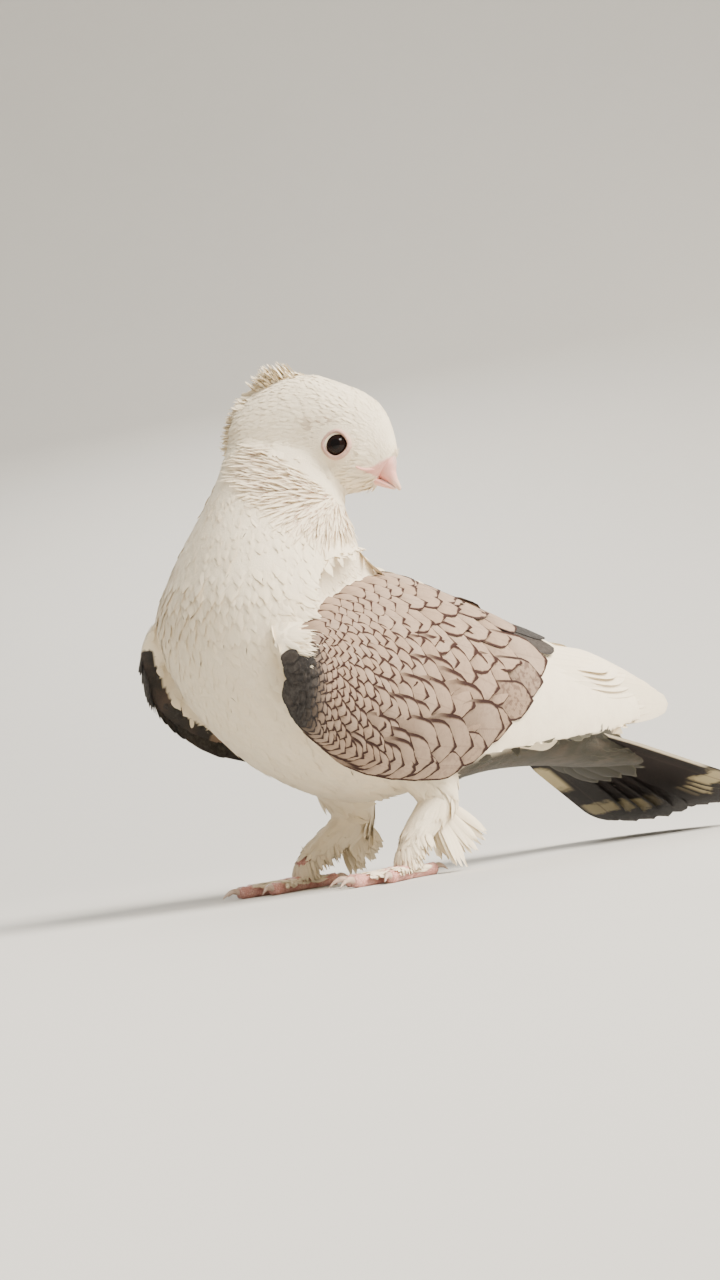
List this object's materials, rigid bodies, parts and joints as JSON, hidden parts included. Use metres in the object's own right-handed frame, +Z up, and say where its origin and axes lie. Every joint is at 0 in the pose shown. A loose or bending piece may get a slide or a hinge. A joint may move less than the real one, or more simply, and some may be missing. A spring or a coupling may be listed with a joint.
{
  "type": "german tie pigeon",
  "caption": "Life-size standing pigeon with a ragged peak crest, a frill down its breast, laced wing shields, a spotted dark tail and feathered legs.",
  "frame": {"origin": "on the floor, under the middle of the bird's length and width", "axes": "+X towards the tail, -X the way the breast faces, -Y the bird's left side, +Z up"},
  "size_m": [0.2578, 0.1044, 0.1864],
  "materials": {
    "white_plumage": "soft cream-white feathers",
    "laced_plumage": "pinkish-beige feathers with dark brown lacing",
    "dark_plumage": "black-brown feathers with cream spots near their tips",
    "eye": "wet, near-black brown",
    "lid_skin": "bare pinkish skin",
    "bill_horn": "flesh-pink horn, paler at the tip",
    "leg_skin": "scaled pink skin",
    "claw_horn": "pale horn"
  },
  "bodies": {
    "root": {"torso": "white_plumage", "neck": "white_plumage", "head": "white_plumage", "eye_left": "eye", "eye_right": "eye", "lid_left": "lid_skin", "lid_right": "lid_skin", "bill_upper": "bill_horn", "bill_lower": "bill_horn", "tail": "dark_plumage", "wing_left": "laced_plumage", "wing_right": "laced_plumage", "primaries_left": "white_plumage", "primaries_right": "white_plumage", "thigh_left": "white_plumage", "thigh_right": "white_plumage", "shank_left": "white_plumage", "shank_right": "white_plumage", "foot_left": "leg_skin", "foot_right": "leg_skin", "claw_left_inner": "claw_horn", "claw_left_middle": "claw_horn", "claw_left_outer": "claw_horn", "claw_left_hind": "claw_horn", "claw_right_inner": "claw_horn", "claw_right_middle": "claw_horn", "claw_right_outer": "claw_horn", "claw_right_hind": "claw_horn"}
  },
  "joints": []
}
